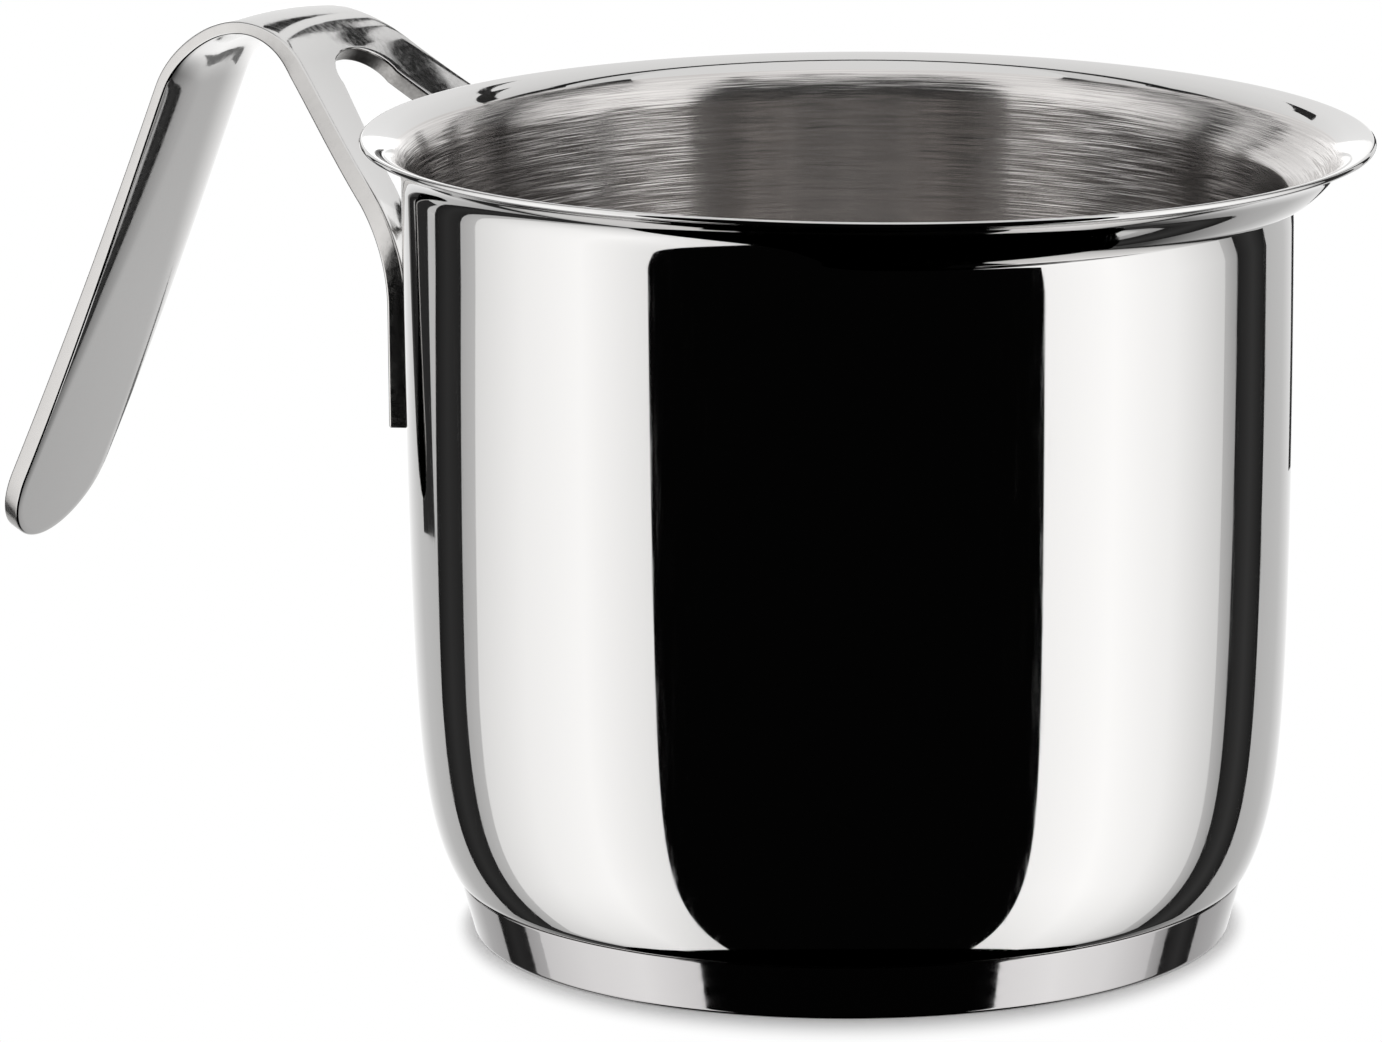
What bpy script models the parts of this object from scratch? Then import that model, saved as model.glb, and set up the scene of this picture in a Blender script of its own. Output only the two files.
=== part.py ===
"""Milk boiler of stainless steel: a drawn pot with a pouring lip, an encapsulated base and a forked handle.

Metres, +Z up. The origin is the centre of the underside of the base, where the pot stands.
The handle points to -X and the pouring lip to +X, and the XZ plane is the plane of symmetry.
"""
import math

import bmesh
import bpy

MM = 0.001

# General
GAP = 0.3 * MM                      # left between pieces that are bonded or welded on the real pot
MERGE = 0.02 * MM                   # points closer than this are one point

# Pot body: one steel shell, drawn from sheet
BODY_SHEET = 1.0 * MM
BODY_HEIGHT = 120.6 * MM            # from the body's flat underside to the top of the rim
WALL_RADIUS = 70.63 * MM            # outside of the wall under the rim
TAPER = 2.2 * MM                    # how far the long taper of the wall has eased in at the base
TAPER_HEIGHT = 103.4 * MM           # height of that taper above the body's underside
TURN_IN = 5.75 * MM                 # how much further the belly turns in at the base
TURN_IN_FADE = 9.7 * MM             # height over which that turn-in dies away
CORNER_HEIGHT = 2.1 * MM            # rise of the round corner between the underside and the belly
FLARE_HEIGHT = 7.2 * MM             # height of the rim's outward flare
RIM_OVERHANG = 6.75 * MM            # how far the rim stands out from the wall, away from the lip
FLARE_SWEEP = math.radians(78)      # how far the flare has turned towards level at its edge

# Base: a steel cap that holds an aluminium disc under the pot
CAP_SHEET = 0.8 * MM
CAP_SEAT_TURN = math.radians(39.5)  # how far round the body's lower corner the cap's rim lies
CAP_TAPER = 2.2 * MM                # how much narrower the cap's foot is than its rim, on each side
CAP_FOOT_ROUND = 0.9 * MM
SPREADER_THICKNESS = 6.8 * MM
SPREADER_EDGE_ROUND = 0.6 * MM

# Pouring lip, pressed into the flare opposite the handle
LIP_REACH = 7.75 * MM
LIP_DROP = 0.32 * MM
LIP_SINK = 1.76 * MM                # how far the lip draws the foot of the flare down
LIP_HEIGHT = 9.9 * MM               # height of the wall that the lip draws outwards
LIP_RISE = 6.0 * MM                 # the lip has its full reach this far above its lower end
LIP_HALF_ANGLE = math.radians(90.7)

# Handle: one thick strip, cut to a fork and bent
STRIP_THICKNESS = 3.1 * MM
STRIP_EDGE_ROUND = 1.2 * MM
GRIP_WIDTH = 23.4 * MM
GRIP_TIP_LENGTH = 14.0 * MM         # length of the grip's rounded tip
GRIP_LENGTH = 89.85 * MM            # from the tip to the bend
GRIP_SLOPE = math.radians(66.9)     # above level, where the grip meets the bend
GRIP_BOW = math.radians(3.85)       # how much flatter the grip runs at its tip
BEND_RADIUS = 18.9 * MM             # outer face of the bend at the top
DESCENT_LENGTH = 25.0 * MM          # straight run from the bend down towards the wall
DESCENT_SLOPE = math.radians(43.7)  # below level
LEG_BEND_RADIUS = 23.9 * MM         # bend that turns the legs down along the wall
LEG_FOOT_DEPTH = 49.2 * MM          # lower ends of the legs below the top of the rim
LEG_SEAT_LENGTH = 19.6 * MM         # straight length of each leg welded to the wall
FORK_WIDTH = 62.6 * MM              # across both legs at the wall
LEG_WIDTH = 10.5 * MM
SLOT_SETBACK = 14.3 * MM            # from the top of the bend to the start of the slot
SLOT_END_LENGTH = 6.0 * MM          # length of the slot's rounded end
SPREAD_LEAD = 2.5 * MM              # the strip starts to widen this far before the top of the bend
DOME_RISE = 0.55 * MM               # the top of the bend is this much higher in the middle than at its edges
DOME_REACH = 24.0 * MM
EDGE_DROOP = 0.45 * MM              # and the edges fall away by this much beside it, towards the grip
WRAP_LEAD = 5.6 * MM                # the strip starts to hollow this far before the top of the bend
WRAP_LENGTH = 17.5 * MM             # and has the roundness of the wall after this length

# Places worked out from the sizes
SPREADER_BOTTOM = CAP_SHEET + GAP
BODY_BOTTOM = SPREADER_BOTTOM + SPREADER_THICKNESS + GAP
RIM_HEIGHT = BODY_BOTTOM + BODY_HEIGHT
SEAT_RADIUS = WALL_RADIUS + GAP     # face of the legs that lies against the wall
SEAT_TOP = RIM_HEIGHT - LEG_FOOT_DEPTH + LEG_SEAT_LENGTH

# Faces round a turned piece, and along its rounds and runs
TURN_STEPS = 72
ROUND_STEPS = 4
CORNER_STEPS = 3
WALL_STEPS = 10
LIP_STEPS = 3
FLARE_STEPS = 7
SMOOTH_ANGLE = math.radians(35)     # edges sharper than this stay sharp

# Rows and columns of faces on the handle's sheet
TIP_ROWS = 7
GRIP_ROWS = 7
BEND_ROWS = 10
SLOT_END_ROWS = 5
DESCENT_ROWS = 4
LEG_BEND_ROWS = 5
SEAT_ROWS = 2
SHEET_COLUMNS = 4
ROW_LEAN_SHARE = 0.17               # how far the row at the slot leans back, as a share of the grip's width
EDGE_ROUND_LIMIT_SHARE = 0.4        # widest round on a sheet's edge, as a share of its thickness


def new_collection(name):
    collection = bpy.data.collections.new(name)
    bpy.context.scene.collection.children.link(collection)
    return collection


def steel(name, colour, roughness):
    """A bare metal in the given linear colour."""
    material = bpy.data.materials.new(name)
    material.use_nodes = True
    shader = material.node_tree.nodes["Principled BSDF"]
    shader.inputs["Base Color"].default_value = (*colour, 1)
    shader.inputs["Metallic"].default_value = 1
    shader.inputs["Roughness"].default_value = roughness
    return material


def add_object(name, mesh, collection, material):
    piece = bpy.data.objects.new(name, mesh)
    collection.objects.link(piece)
    mesh.materials.append(material)
    return piece


def plain_mesh(piece):
    """Give the piece the mesh that its modifiers make."""
    evaluated = piece.evaluated_get(bpy.context.evaluated_depsgraph_get())
    mesh = bpy.data.meshes.new_from_object(evaluated)
    piece.modifiers.clear()
    piece.data = mesh
    return mesh


def smooth(mesh):
    mesh.shade_smooth()
    mesh.set_sharp_from_angle(angle=SMOOTH_ANGLE)


def arc(centre_x, centre_z, radius, start, end, count):
    """Points on an arc in the XZ plane, from the angle start to the angle end."""
    angles = [start + (end - start) * i / count for i in range(count + 1)]
    return [(centre_x + radius * math.cos(a), centre_z + radius * math.sin(a)) for a in angles]


def turned(name, profile, collection, material):
    """A solid of revolution from a profile of (radius, height) that starts and ends on the axis."""
    mesh = bpy.data.meshes.new(name)
    edges = [(i, i + 1) for i in range(len(profile) - 1)]
    mesh.from_pydata([(radius, 0, height) for radius, height in profile], edges, [])
    piece = add_object(name, mesh, collection, material)
    screw = piece.modifiers.new("Turn", "SCREW")
    screw.axis = "Z"
    screw.steps = TURN_STEPS
    screw.render_steps = TURN_STEPS
    screw.use_merge_vertices = True
    screw.merge_threshold = MERGE
    mesh = plain_mesh(piece)
    smooth(mesh)
    return piece


def wall_radius(height):
    """Outside radius of the wall at a height above the body's underside."""
    taper = max(0, 1 - height / TAPER_HEIGHT) ** 2
    return WALL_RADIUS - TAPER * taper - TURN_IN * math.exp(-height / TURN_IN_FADE)


def wall_slope(height):
    """How fast that radius grows with the height."""
    taper = 2 * TAPER / TAPER_HEIGHT * max(0, 1 - height / TAPER_HEIGHT)
    return taper + TURN_IN / TURN_IN_FADE * math.exp(-height / TURN_IN_FADE)


def corner():
    """Centre radius, round and turn of the body's lower corner, which meets the belly without a kink."""
    turn = math.pi / 2 - math.atan(wall_slope(CORNER_HEIGHT))
    round_radius = CORNER_HEIGHT / (1 - math.cos(turn))
    centre = wall_radius(CORNER_HEIGHT) - round_radius * math.sin(turn)
    return centre, round_radius, turn


def corner_height(radius):
    """Height of the body's round lower corner above the ground at a radius."""
    centre, round_radius, turn = corner()
    out = min(max(radius - centre, 0), round_radius)
    return BODY_BOTTOM + round_radius - math.sqrt(round_radius ** 2 - out ** 2)


def body_outside():
    """The outer face of the body from the axis to the edge of the rim, as (radius, height, normal angle)."""
    centre, round_radius, turn = corner()
    points = [(0, BODY_BOTTOM, -math.pi / 2)]
    for i in range(CORNER_STEPS + 1):
        angle = -math.pi / 2 + turn * i / CORNER_STEPS
        height = BODY_BOTTOM + round_radius + round_radius * math.sin(angle)
        points.append((centre + round_radius * math.cos(angle), height, angle))
    lip_start = BODY_HEIGHT - LIP_HEIGHT
    flare_start = BODY_HEIGHT - FLARE_HEIGHT
    heights = [CORNER_HEIGHT + (lip_start - CORNER_HEIGHT) * (i / WALL_STEPS) ** 2 for i in range(1, WALL_STEPS)]
    heights += [lip_start + (flare_start - lip_start) * i / LIP_STEPS for i in range(LIP_STEPS)]
    for height in heights:
        points.append((wall_radius(height), BODY_BOTTOM + height, -math.atan(wall_slope(height))))
    reach = (RIM_OVERHANG - BODY_SHEET / 2) / (1 - math.cos(FLARE_SWEEP))
    rise = FLARE_HEIGHT / math.sin(FLARE_SWEEP) - BODY_SHEET
    for i in range(FLARE_STEPS + 1):
        sweep = FLARE_SWEEP * i / FLARE_STEPS
        radius = WALL_RADIUS + reach * (1 - math.cos(sweep))
        height = BODY_BOTTOM + flare_start + rise * math.sin(sweep)
        normal = -math.atan2(reach * math.sin(sweep), rise * math.cos(sweep))
        points.append((radius, height, normal))
    return points


def body_profile():
    """The shell's section: the inside from the axis up, the rounded rim, and the outside down."""
    outside = body_outside()
    inside = [(0, BODY_BOTTOM + BODY_SHEET)]
    for radius, height, angle in outside[1:]:
        inside.append((radius - BODY_SHEET * math.cos(angle), height - BODY_SHEET * math.sin(angle)))
    edge_radius, edge_height, edge_angle = outside[-1]
    half = BODY_SHEET / 2
    middle = (edge_radius - half * math.cos(edge_angle), edge_height - half * math.sin(edge_angle))
    rim = arc(*middle, half, edge_angle + math.pi, edge_angle, ROUND_STEPS)[1:-1]
    return inside + rim + [(radius, height) for radius, height, angle in reversed(outside)]


def press_lip(mesh):
    """Draw the rim outwards round the +X direction, with the top of the wall under it, and the flare's foot down."""
    for vertex in mesh.vertices:
        x, y, z = vertex.co
        share = ease((z - RIM_HEIGHT + LIP_HEIGHT) / LIP_RISE)
        off_axis = min(abs(math.atan2(y, x)) / LIP_HALF_ANGLE, 1)
        facing = math.cos(off_axis * math.pi / 2) ** 2
        drop = LIP_DROP * share + LIP_SINK * 4 * share * (1 - share)
        radius = math.hypot(x, y)
        if radius > MERGE:
            grow = 1 + LIP_REACH * share * facing / radius
            vertex.co = (x * grow, y * grow, z - drop * facing)


def pot_body(collection, material):
    body = turned("pot_body", body_profile(), collection, material)
    press_lip(body.data)
    return body


def cap_radii():
    """Outside radii of the base cap at its foot and at its rim, which lies against the body's corner."""
    centre, round_radius, turn = corner()
    rim = centre + round_radius * math.sin(CAP_SEAT_TURN)
    return rim - CAP_TAPER, rim


def base_cap(collection, material):
    """A shallow cup whose rim follows the body's round lower corner."""
    foot, rim = cap_radii()
    rim_top = corner_height(rim) - GAP
    inner_top = corner_height(rim - CAP_SHEET) - GAP
    rounding = min(CAP_FOOT_ROUND, 2 * CAP_SHEET)
    profile = [(0, CAP_SHEET), (foot - CAP_SHEET, CAP_SHEET), (rim - CAP_SHEET, inner_top), (rim, rim_top)]
    profile += arc(foot - rounding, rounding, rounding, 0, -math.pi / 2, ROUND_STEPS)
    return turned("base_cap", profile + [(0, 0)], collection, material)


def heat_spreader(collection, material):
    """The aluminium disc between the cap's floor and the pot."""
    radius = cap_radii()[0] - CAP_SHEET - GAP
    top = SPREADER_BOTTOM + SPREADER_THICKNESS
    edge = radius - SPREADER_EDGE_ROUND
    profile = [(0, top), (edge, top)]
    profile += [(radius, top - SPREADER_EDGE_ROUND), (radius, SPREADER_BOTTOM + SPREADER_EDGE_ROUND)]
    profile += [(edge, SPREADER_BOTTOM), (0, SPREADER_BOTTOM)]
    return turned("heat_spreader", profile, collection, material)


def handle_route():
    """Lengths along the strip where its runs and bends end, measured from the grip's tip."""
    bend_end = GRIP_LENGTH + BEND_RADIUS * (GRIP_SLOPE + DESCENT_SLOPE)
    descent_end = bend_end + DESCENT_LENGTH
    leg_bend_end = descent_end + LEG_BEND_RADIUS * (math.pi / 2 - DESCENT_SLOPE)
    top = GRIP_LENGTH + BEND_RADIUS * GRIP_SLOPE
    return top, bend_end, descent_end, leg_bend_end, leg_bend_end + LEG_SEAT_LENGTH


def strip_centre(length):
    """Place (x, z) and heading of the strip's outer face on the plane of symmetry, from the tip to the legs."""
    top, bend_end, descent_end, leg_bend_end, strip_end = handle_route()
    if length >= leg_bend_end:
        return -SEAT_RADIUS, SEAT_TOP - (length - leg_bend_end), -math.pi / 2
    if length >= descent_end:
        heading = -DESCENT_SLOPE - (length - descent_end) / LEG_BEND_RADIUS
        x = -SEAT_RADIUS - LEG_BEND_RADIUS * (1 + math.sin(heading))
        return x, SEAT_TOP + LEG_BEND_RADIUS * math.cos(heading), heading
    x = -SEAT_RADIUS - LEG_BEND_RADIUS * (1 - math.sin(DESCENT_SLOPE))
    z = SEAT_TOP + LEG_BEND_RADIUS * math.cos(DESCENT_SLOPE)
    back = descent_end - max(length, bend_end)
    x -= back * math.cos(DESCENT_SLOPE)
    z += back * math.sin(DESCENT_SLOPE)
    if length >= bend_end:
        return x, z, -DESCENT_SLOPE
    centre_x = x - BEND_RADIUS * math.sin(DESCENT_SLOPE)
    centre_z = z - BEND_RADIUS * math.cos(DESCENT_SLOPE)
    heading = min(GRIP_SLOPE, -DESCENT_SLOPE + (bend_end - length) / BEND_RADIUS)
    x = centre_x - BEND_RADIUS * math.sin(heading)
    z = centre_z + BEND_RADIUS * math.cos(heading)
    if length >= GRIP_LENGTH:
        return x, z, heading
    bow_radius = GRIP_LENGTH / GRIP_BOW
    heading = GRIP_SLOPE - (GRIP_LENGTH - length) / bow_radius
    x -= bow_radius * (math.sin(GRIP_SLOPE) - math.sin(heading))
    z += bow_radius * (math.cos(GRIP_SLOPE) - math.cos(heading))
    return x, z, heading


def ease(share):
    share = min(max(share, 0), 1)
    return share * share * (3 - 2 * share)


def half_width(length):
    """Half the width over the whole fork at a length along the strip."""
    top, bend_end, descent_end, leg_bend_end, strip_end = handle_route()
    spread = ease((length - top + SPREAD_LEAD) / (leg_bend_end - top + SPREAD_LEAD))
    return GRIP_WIDTH / 2 + (FORK_WIDTH - GRIP_WIDTH) / 2 * spread


def sheet_rows():
    """Pairs of points (length, width) on the middle line or slot and on the outer edge, from tip to legs."""
    top, bend_end, descent_end, leg_bend_end, strip_end = handle_route()
    slot_start = top + SLOT_SETBACK
    slot_side = slot_start + SLOT_END_LENGTH
    half = GRIP_WIDTH / 2
    rows = []
    for i in range(TIP_ROWS):
        angle = math.pi / 2 * i / TIP_ROWS
        edge = (GRIP_TIP_LENGTH * (1 - math.cos(angle)), half * math.sin(angle))
        rows.append(((GRIP_TIP_LENGTH, 0), edge))
    lean = ROW_LEAN_SHARE * GRIP_WIDTH
    slant = (slot_start - lean - GRIP_TIP_LENGTH) / (slot_start - GRIP_TIP_LENGTH)
    stations = [GRIP_TIP_LENGTH + (GRIP_LENGTH - GRIP_TIP_LENGTH) * i / GRIP_ROWS for i in range(GRIP_ROWS)]
    stations += [GRIP_LENGTH + (slot_start - GRIP_LENGTH) * i / BEND_ROWS for i in range(BEND_ROWS)]
    for station in stations:
        outer = GRIP_TIP_LENGTH + (station - GRIP_TIP_LENGTH) * slant
        rows.append(((station, 0), (outer, half_width(outer))))
    outer_start = slot_start - lean
    slot_width = half_width(slot_side) - LEG_WIDTH
    for i in range(SLOT_END_ROWS):
        angle = math.pi / 2 * i / SLOT_END_ROWS
        inner = (slot_start + SLOT_END_LENGTH * (1 - math.cos(angle)), slot_width * math.sin(angle))
        outer = outer_start + (slot_side - outer_start) * i / SLOT_END_ROWS
        rows.append((inner, (outer, half_width(outer))))
    legs = [(slot_side, descent_end, DESCENT_ROWS), (descent_end, leg_bend_end, LEG_BEND_ROWS)]
    legs.append((leg_bend_end, strip_end, SEAT_ROWS))
    for start, end, count in legs:
        for i in range(count):
            station = start + (end - start) * i / count
            rows.append(((station, half_width(station) - LEG_WIDTH), (station, half_width(station))))
    rows.append(((strip_end, half_width(strip_end) - LEG_WIDTH), (strip_end, half_width(strip_end))))
    return rows


def half_sheet():
    """The flat blank on one side of the plane of symmetry: X runs along the strip and Y across it."""
    rows = sheet_rows()
    sheet = bmesh.new()
    last = len(rows) - 1
    bmesh.ops.create_grid(sheet, x_segments=last, y_segments=SHEET_COLUMNS, size=1)
    for vertex in sheet.verts:
        row = round((vertex.co.x + 1) / 2 * last)
        share = (vertex.co.y + 1) / 2
        inner, outer = rows[row]
        along = inner[0] + (outer[0] - inner[0]) * share
        across = inner[1] + (outer[1] - inner[1]) * share
        vertex.co = (along, across, 0)
    bmesh.ops.remove_doubles(sheet, verts=sheet.verts, dist=MERGE)
    mesh = bpy.data.meshes.new("handle")
    sheet.to_mesh(mesh)
    sheet.free()
    return mesh


def dome(along, across):
    """How far the hand-formed bend stands out from a plain one: domed at the top, with edges that fall away."""
    top = handle_route()[0]
    near = ease(1 - abs(along - top) / DOME_REACH)
    edge = (across / half_width(along)) ** 2
    droop = 4 * near * (1 - near) * EDGE_DROOP if along < top else 0
    return DOME_RISE * near * (1 - edge) - droop * edge


def bend(mesh):
    """Carry the flat blank to the handle's shape, hollowing the legs to the roundness of the wall."""
    top = handle_route()[0]
    wrap_start = top - WRAP_LEAD
    for vertex in mesh.vertices:
        along, across, depth = vertex.co
        x, z, heading = strip_centre(along)
        share = min(max((along - wrap_start) / WRAP_LENGTH, 0), 1)
        wrap = ease(share)
        wrap_rate = 6 * share * (1 - share) / WRAP_LENGTH
        root = math.sqrt(SEAT_RADIUS ** 2 - across ** 2)
        hollow = SEAT_RADIUS - root
        run = math.cos(heading) + wrap_rate * hollow
        tilt = math.sin(heading) * wrap * across / root
        size = math.sqrt(math.sin(heading) ** 2 + tilt ** 2 + run ** 2)
        height = depth + dome(along, across)
        normal_x = -math.sin(heading) / size
        normal_y = tilt / size
        normal_z = run / size
        vertex.co = (
            x + wrap * hollow + height * normal_x,
            across + height * normal_y,
            z + height * normal_z,
        )


def handle(collection, material):
    """One strip: grip, bend over the top, and two legs that lie against the pot's wall."""
    piece = add_object("handle", half_sheet(), collection, material)
    mirror = piece.modifiers.new("Other half", "MIRROR")
    mirror.use_axis = (False, True, False)
    mirror.merge_threshold = MERGE
    solidify = piece.modifiers.new("Thickness", "SOLIDIFY")
    solidify.thickness = STRIP_THICKNESS
    solidify.offset = -1
    bevel = piece.modifiers.new("Rounded edges", "BEVEL")
    bevel.width = min(STRIP_EDGE_ROUND, EDGE_ROUND_LIMIT_SHARE * STRIP_THICKNESS)
    bevel.segments = 2
    bevel.limit_method = "ANGLE"
    bevel.angle_limit = math.radians(60)
    mesh = plain_mesh(piece)
    bend(mesh)
    smooth(mesh)
    return piece


def main():
    for old in list(bpy.data.objects):
        bpy.data.objects.remove(old)
    boiler = new_collection("milk_boiler")
    polished = steel("polished_stainless_steel", (0.60, 0.59, 0.58), 0.05)
    ferritic = steel("polished_ferritic_steel", (0.56, 0.56, 0.57), 0.08)
    aluminium = steel("rolled_aluminium", (0.76, 0.77, 0.78), 0.35)
    pot_body(boiler, polished)
    base_cap(boiler, ferritic)
    heat_spreader(boiler, aluminium)
    handle(boiler, polished)


main()
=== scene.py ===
"""Milk boiler of polished stainless steel, with a brushed inside and a bent strip handle: its looks.

Metres, +Z up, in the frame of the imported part: the pot stands on the origin, with its handle
towards -X and its pouring lip towards +X.
"""
import math

import bmesh
import bpy
from mathutils import Matrix, Vector

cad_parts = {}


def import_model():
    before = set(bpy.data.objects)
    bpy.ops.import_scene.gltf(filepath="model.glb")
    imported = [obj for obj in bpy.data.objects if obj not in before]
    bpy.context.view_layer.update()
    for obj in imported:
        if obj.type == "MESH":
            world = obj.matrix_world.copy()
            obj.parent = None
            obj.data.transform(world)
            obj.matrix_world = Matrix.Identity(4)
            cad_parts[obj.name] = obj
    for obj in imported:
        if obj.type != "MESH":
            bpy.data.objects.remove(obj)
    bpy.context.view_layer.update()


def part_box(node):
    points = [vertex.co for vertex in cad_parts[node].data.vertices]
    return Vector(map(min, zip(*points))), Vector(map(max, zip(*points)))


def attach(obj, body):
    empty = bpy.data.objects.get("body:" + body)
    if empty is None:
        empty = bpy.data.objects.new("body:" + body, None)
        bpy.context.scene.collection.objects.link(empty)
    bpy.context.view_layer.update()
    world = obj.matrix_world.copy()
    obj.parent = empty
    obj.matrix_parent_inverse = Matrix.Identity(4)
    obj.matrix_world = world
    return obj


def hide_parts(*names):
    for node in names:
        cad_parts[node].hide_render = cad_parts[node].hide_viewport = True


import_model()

MM = 0.001
POT_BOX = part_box("pot_body")
SPREADER_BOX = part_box("heat_spreader")
GAP = 0.3 * MM                      # kept between the bonded and the welded pieces
MERGE = 0.02 * MM                   # points closer than this are one point

# Pot body: one steel shell, drawn from sheet
BODY_BOTTOM = POT_BOX[0].z
BODY_SHEET = 1.0 * MM
BODY_HEIGHT = 120.6 * MM            # from the body's flat underside to the top of the rim
RIM_HEIGHT = BODY_BOTTOM + BODY_HEIGHT
WALL_RADIUS = 70.63 * MM            # outside of the wall under the rim
TAPER = 2.2 * MM                    # how far the long taper has eased in at the base
TAPER_HEIGHT = 103.4 * MM           # height of that taper above the body's underside
TURN_IN = 5.75 * MM                 # how much further the belly turns in at the base
TURN_IN_FADE = 9.7 * MM             # over each such height it falls to about a third
CORNER_HEIGHT = 2.1 * MM            # rise of the round corner between the underside and the belly
FLARE_HEIGHT = 7.2 * MM             # height of the rim's outward flare
RIM_OVERHANG = 6.69 * MM            # how far the rim stands out, kept inside the solid's faceted rim
FLARE_SWEEP = math.radians(78)      # how far the flare has turned from upright at its edge
LIP_REACH = 7.75 * MM               # how far the pouring lip draws the rim outwards
LIP_DROP = 0.32 * MM                # how far it draws the rim down
LIP_SINK = 1.76 * MM                # how much further it draws the foot of the flare down
LIP_HEIGHT = 9.9 * MM               # the lip starts this far below the top of the rim
LIP_RISE = 6.0 * MM                 # and has its full reach this far above that
LIP_HALF_ANGLE = math.radians(90.7)  # it has died away this far round to each side
POLISH_DEPTH = 2.2 * MM             # the mirror polish goes this far down inside the rim
POLISH_FADE = 1.2 * MM              # and gives way to the brushing over this height

# Base: a steel cap that holds an aluminium disc under the pot
CAP_SHEET = 0.8 * MM
CAP_SEAT_TURN = math.radians(39.5)  # how far round the body's lower corner the cap's rim lies
CAP_TAPER = 2.2 * MM                # how much narrower the cap's foot is than its rim, on each side
CAP_FOOT_ROUND = 0.9 * MM
CAP_EDGE_ROUND = 0.12 * MM
CAP_SEAM = 0.04 * MM                # the thin seam between the cap's rim and the body
CAP_SUPPORT = 0.15 * MM             # rows of faces this wide keep the cap's side straight
SPREADER_EDGE_ROUND = 0.6 * MM

# Handle: one thick strip, cut to a fork and bent
STRIP_THICKNESS = 3.1 * MM
STRIP_EDGE_ROUND = 1.2 * MM
GRIP_WIDTH = 23.4 * MM
GRIP_TIP_LENGTH = 14.0 * MM         # length of the grip's rounded tip
GRIP_TIP_TRIM = 0.56 * MM           # keeps the smooth tip inside the faceted solid's length
SHOULDER_WIDTH = 8.5 * MM           # the grip's inner face falls away towards its edges over this width
SHOULDER_WIDTH_AT_TIP = 1.6 * MM
SHOULDER_DROP = 1.1 * MM            # and by this much
SHOULDER_DROP_AT_TIP = 0.08 * MM
GRIP_LENGTH = 89.85 * MM            # from the tip to the bend
GRIP_SLOPE = math.radians(66.9)     # above level, where the grip meets the bend
GRIP_BOW = math.radians(3.85)       # how much flatter the grip runs at its tip
BEND_RADIUS = 18.9 * MM             # outer face of the bend at the top
DESCENT_LENGTH = 25.0 * MM          # straight run from the bend down towards the wall
DESCENT_SLOPE = math.radians(43.7)  # below level
LEG_BEND_RADIUS = 23.9 * MM         # bend that turns the legs down along the wall
LEG_FOOT_DEPTH = 49.2 * MM          # lower ends of the legs below the top of the rim
LEG_SEAT_LENGTH = 19.6 * MM         # straight length of each leg that is welded to the wall
FORK_WIDTH = 62.6 * MM              # across both legs at the wall
LEG_WIDTH = 10.5 * MM
SLOT_SETBACK = 14.3 * MM            # from the top of the bend to the start of the slot
SLOT_END_LENGTH = 6.0 * MM          # length of the slot's rounded end
CUT_MARGIN = 0.5 * MM               # faces this near the slot's outline belong to its cut wall
EDGE_FACING = 0.45                  # faces that point up or down more than this belong to the broad sides
SPREAD_LEAD = 2.5 * MM              # the strip starts to widen this far before the top of the bend
DOME_RISE = 0.55 * MM               # the top of the bend is this much higher in the middle
DOME_REACH = 24.0 * MM              # and this far along the strip the dome has died away
EDGE_DROOP = 0.45 * MM              # beside it, towards the grip, the edges fall away by this much
WRAP_LEAD = 5.6 * MM                # the strip starts to hollow this far before the top of the bend
WRAP_LENGTH = 17.5 * MM             # and has the roundness of the wall after this length
SEAT_RADIUS = WALL_RADIUS + GAP     # face of the legs that lies against the wall
SEAT_TOP = RIM_HEIGHT - LEG_FOOT_DEPTH + LEG_SEAT_LENGTH

# Faces on the turned pieces and on the handle's sheet
TURN_COLUMNS = 320
FLAT_RINGS = 3
CORNER_STEPS = 12
WALL_STEPS = 44
WALL_CROWDING = 1.5                 # above 1 the wall's rows lie closer together towards the belly
LIP_STEPS = 8
FLARE_STEPS = 24
ROUND_STEPS = 10
RIM_STEPS = 5
SIDE_STEPS = 4
TIP_ROWS = 22
GRIP_ROWS = 30
BEND_ROWS = 44
SLOT_END_ROWS = 18
DESCENT_ROWS = 18
LEG_BEND_ROWS = 20
SEAT_ROWS = 8
SHEET_COLUMNS = 14
EDGE_SEGMENTS = 8
EDGE_LIMIT = math.radians(60)       # edges sharper than this are rounded
EDGE_SUPPORT = 1.45 * MM            # the last column beside an edge is this wide
ROW_LEAN_SHARE = 0.17               # how far the row at the slot leans back, as a share of the grip's width
COLUMN_CROWDING = 0.7               # from 0 for even columns to 1 for the most crowded outer ones

# Marks of the finishes, from each to the next. The grit's lines and the waves have usual sizes. The
# other marks are finer on real metal, too fine to show, and are drawn as coarse as they need to be
BUFFING_MARKS = 0.9 * MM
BUFFING_LEAN = (0.05, 0.16, 0.0)    # a little off upright, in radians
BRUSHED_LINES = 0.3 * MM
BRUSHED_LINE_LENGTH = 36.0 * MM
BRUSHED_LINE_SLOPE = 0.09           # twice the tangent of the steepest lean of their sides
GRIT_LINES = 0.07 * MM
GRIT_LINE_LENGTH = 9.0 * MM
GRIT_LINE_SLOPE = 1.0
STRIP_GRAIN = 0.8 * MM
STRIP_GRAIN_LEAN = (0.0, 1.12, 0.0)  # along the grip
STRIP_WAVES = 9.0 * MM
STRIP_WAVE_DEPTH = 0.05 * MM
BELT_MARKS = 1.1 * MM
BELT_MARK_DEPTH = 0.03 * MM
GRINDING_MARKS = 0.7 * MM
GRINDING_MARK_DEPTH = 0.04 * MM
SPIN_WAVES = 1.6 * MM
SPIN_WAVE_DEPTH = 0.012 * MM
ROLLING_LINES = 0.5 * MM

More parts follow.
